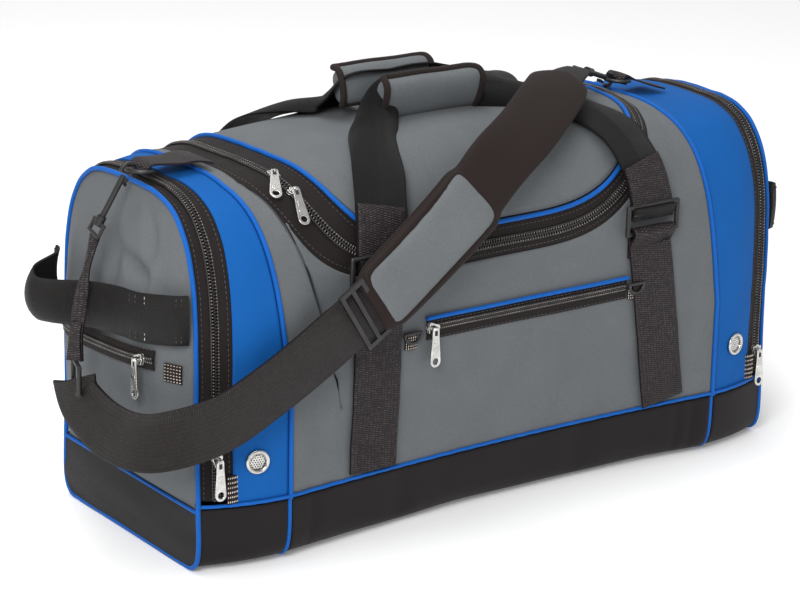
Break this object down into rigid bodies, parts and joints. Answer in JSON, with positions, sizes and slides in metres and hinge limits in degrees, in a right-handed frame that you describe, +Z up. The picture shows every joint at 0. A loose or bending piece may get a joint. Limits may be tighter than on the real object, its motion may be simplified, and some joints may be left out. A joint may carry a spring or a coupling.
{
  "type": "sports duffel bag",
  "caption": "Soft sports duffel bag with a U-zip lid, drop-down zipped end flaps, carry handles with a padded grip and a clip-on shoulder strap.",
  "frame": {"origin": "middle of the base, on the ground", "axes": "+X along the bag to the right seen from the front, front facing -Y, +Z up"},
  "size_m": [0.8084, 0.3065, 0.4017],
  "materials": {
    "grey_fabric": "plain-woven grey polyester",
    "blue_fabric": "bright blue woven polyester",
    "base_fabric": "coated black polyester",
    "lining": "thin black lining cloth",
    "board": "stiff plastic sheet",
    "piping": "blue cloth-covered cord",
    "zip_tape": "knitted black zip tape with a nylon coil",
    "webbing": "ribbed black webbing",
    "pad_fabric": "padded grey polyester with black binding",
    "black_plastic": "moulded black acetal",
    "nickel": "bright nickel plate"
  },
  "bodies": {
    "bag": {"base_tub": "base_fabric", "base_board": "board", "end_bases": "base_fabric", "front_panel": "grey_fabric", "back_panel": "grey_fabric", "side_band_left": "blue_fabric", "side_band_right": "blue_fabric", "end_dividers": "lining", "main_zip_lower": "zip_tape", "end_zip_inner": "zip_tape", "body_piping": "piping", "front_straps": "webbing", "back_straps": "webbing", "pocket_zip": "zip_tape", "pocket_piping": "piping", "pocket_lining": "lining", "webbing_tabs": "webbing", "d_rings": "black_plastic", "vents": "nickel"},
    "lid": {"lid_panel": "grey_fabric", "lid_piping": "piping", "main_zip_upper": "zip_tape"},
    "front_handle": {"front_handle_webbing": "webbing", "front_handle_rings": "black_plastic", "front_grip": "pad_fabric"},
    "back_handle": {"back_handle_webbing": "webbing", "back_handle_rings": "black_plastic", "back_grip": "pad_fabric"},
    "left_flap": {"end_flap_left": "grey_fabric", "flap_piping_left": "piping", "end_zip_left": "zip_tape", "grab_handle_left": "webbing", "flap_pocket_zip": "zip_tape"},
    "right_flap": {"end_flap_right": "grey_fabric", "flap_piping_right": "piping", "end_zip_right": "zip_tape", "grab_handle_right": "webbing"},
    "shoulder_strap": {"strap_webbing": "webbing", "strap_tail": "webbing", "strap_pad": "pad_fabric", "strap_adjuster": "black_plastic", "strap_loop": "black_plastic", "hook_left": "black_plastic", "hook_right": "black_plastic"},
    "gate_left": {"hook_gate_left": "black_plastic"},
    "gate_right": {"hook_gate_right": "black_plastic"},
    "ring_left": {"pocket_ring_left": "black_plastic"},
    "ring_right": {"pocket_ring_right": "black_plastic"},
    "main_slider_left": {"main_slider_left": "nickel"},
    "main_slider_right": {"main_slider_right": "nickel"},
    "pocket_slider": {"pocket_slider": "nickel"},
    "end_slider_left": {"end_slider_left": "nickel"},
    "end_slider_right": {"end_slider_right": "nickel"},
    "flap_slider": {"flap_slider": "nickel"},
    "main_pull_left": {"main_pull_left": "nickel"},
    "main_pull_right": {"main_pull_right": "nickel"},
    "pocket_pull": {"pocket_pull": "nickel"},
    "end_pull_left": {"end_pull_left": "nickel"},
    "end_pull_right": {"end_pull_right": "nickel"},
    "flap_pull": {"flap_pull": "nickel"}
  },
  "joints": [
    {"name": "lid_open", "type": "hinge", "parent": "bag", "child": "lid", "pos_m": [0, 0.1035, 0.323], "axis": [-1, 0, 0], "range_deg": [0, 105]},
    {"name": "front_handle_fold", "type": "hinge", "parent": "bag", "child": "front_handle", "pos_m": [0, -0.136, 0.243], "axis": [1, 0, 0], "range_deg": [0, 176.4]},
    {"name": "back_handle_fold", "type": "hinge", "parent": "bag", "child": "back_handle", "pos_m": [0, 0.136, 0.243], "axis": [-1, 0, 0], "range_deg": [0, 176.4]},
    {"name": "shoulder_strap_unclip", "type": "slide", "parent": "bag", "child": "shoulder_strap", "axis": [-0.4509, -0.4309, 0.7816], "range_m": [0, 0.736]},
    {"name": "left_flap_open", "type": "hinge", "parent": "bag", "child": "left_flap", "pos_m": [-0.331, 0, 0.0615], "axis": [0, -1, 0], "range_deg": [0, 75]},
    {"name": "right_flap_open", "type": "hinge", "parent": "bag", "child": "right_flap", "pos_m": [0.331, 0, 0.0615], "axis": [0, 1, 0], "range_deg": [0, 80]},
    {"name": "hook_gate_left_press", "type": "hinge", "parent": "shoulder_strap", "child": "gate_left", "pos_m": [-0.34135, -0.01115, 0.33018], "axis": [-0.0881, -0.9756, -0.201], "range_deg": [0, 14]},
    {"name": "main_slider_left_run", "type": "hinge", "parent": "bag", "child": "main_slider_left", "pos_m": [-0.18137, 0.00109, 0.14317], "axis": [-0.9655, -0.0546, -0.2547], "range_deg": [0, 38]},
    {"name": "main_pull_left_flip", "type": "hinge", "parent": "main_slider_left", "child": "main_pull_left", "pos_m": [-0.22795, -0.07338, 0.3405], "axis": [-0.8829, 0.4476, 0.1417], "range_deg": [0, 140]},
    {"name": "end_slider_left_run", "type": "slide", "parent": "bag", "child": "end_slider_left", "axis": [0, 0.0204, 0.9998], "range_m": [0, 0.12]},
    {"name": "end_pull_left_flip", "type": "hinge", "parent": "end_slider_left", "child": "end_pull_left", "pos_m": [-0.316, -0.12674, 0.10625], "axis": [-1, 0, 0], "range_deg": [0, 150]},
    {"name": "pocket_ring_left_swing", "type": "hinge", "parent": "bag", "child": "ring_left", "pos_m": [-0.119, -0.13506, 0.19003], "axis": [-1, 0, 0], "range_deg": [0, 70]},
    {"name": "hook_gate_right_press", "type": "hinge", "parent": "shoulder_strap", "child": "gate_right", "pos_m": [0.19405, -0.00677, 0.35662], "axis": [0.1996, -0.9771, -0.0743], "range_deg": [0, 14]},
    {"name": "main_slider_right_run", "type": "hinge", "parent": "bag", "child": "main_slider_right", "pos_m": [-0.18076, -0.05557, 0.2878], "axis": [0.748, -0.1772, 0.6397], "range_deg": [0, 36]},
    {"name": "main_pull_right_flip", "type": "hinge", "parent": "main_slider_right", "child": "main_pull_right", "pos_m": [-0.22166, -0.09739, 0.32927], "axis": [-0.9848, 0.1398, 0.1031], "range_deg": [0, 140]},
    {"name": "end_slider_right_run", "type": "slide", "parent": "bag", "child": "end_slider_right", "axis": [0, 0.022, 0.9998], "range_m": [0, 0.134]},
    {"name": "end_pull_right_flip", "type": "hinge", "parent": "end_slider_right", "child": "end_pull_right", "pos_m": [0.316, -0.12724, 0.09229], "axis": [-1, 0, 0], "range_deg": [0, 150]},
    {"name": "pocket_ring_right_swing", "type": "hinge", "parent": "bag", "child": "ring_right", "pos_m": [0.14, -0.13777, 0.19407], "axis": [-1, 0, 0], "range_deg": [0, 40]},
    {"name": "pocket_slider_run", "type": "slide", "parent": "bag", "child": "pocket_slider", "axis": [1, 0, 0], "range_m": [0, 0.205]},
    {"name": "pocket_pull_flip", "type": "hinge", "parent": "pocket_slider", "child": "pocket_pull", "pos_m": [-0.097, -0.13913, 0.19158], "axis": [-1, 0, 0], "range_deg": [0, 150]},
    {"name": "flap_slider_run", "type": "hinge", "parent": "left_flap", "child": "flap_slider", "pos_m": [0.0711, 0.00243, 0.18513], "axis": [0, -0.0599, -0.9982], "range_deg": [0, 14.9]},
    {"name": "flap_pull_flip", "type": "hinge", "parent": "flap_slider", "child": "flap_pull", "pos_m": [-0.36215, -0.062, 0.189], "axis": [0, 1, 0], "range_deg": [0, 150]}
  ],
  "couplings": [
    {"joint": "front_handle_fold", "follows": "lid_open", "ratio": 1.68},
    {"joint": "back_handle_fold", "follows": "lid_open", "ratio": 1.68},
    {"joint": "shoulder_strap_unclip", "follows": "lid_open", "m_per_rad": 0.4},
    {"joint": "left_flap_open", "follows": "lid_open", "ratio": 0.714}
  ]
}
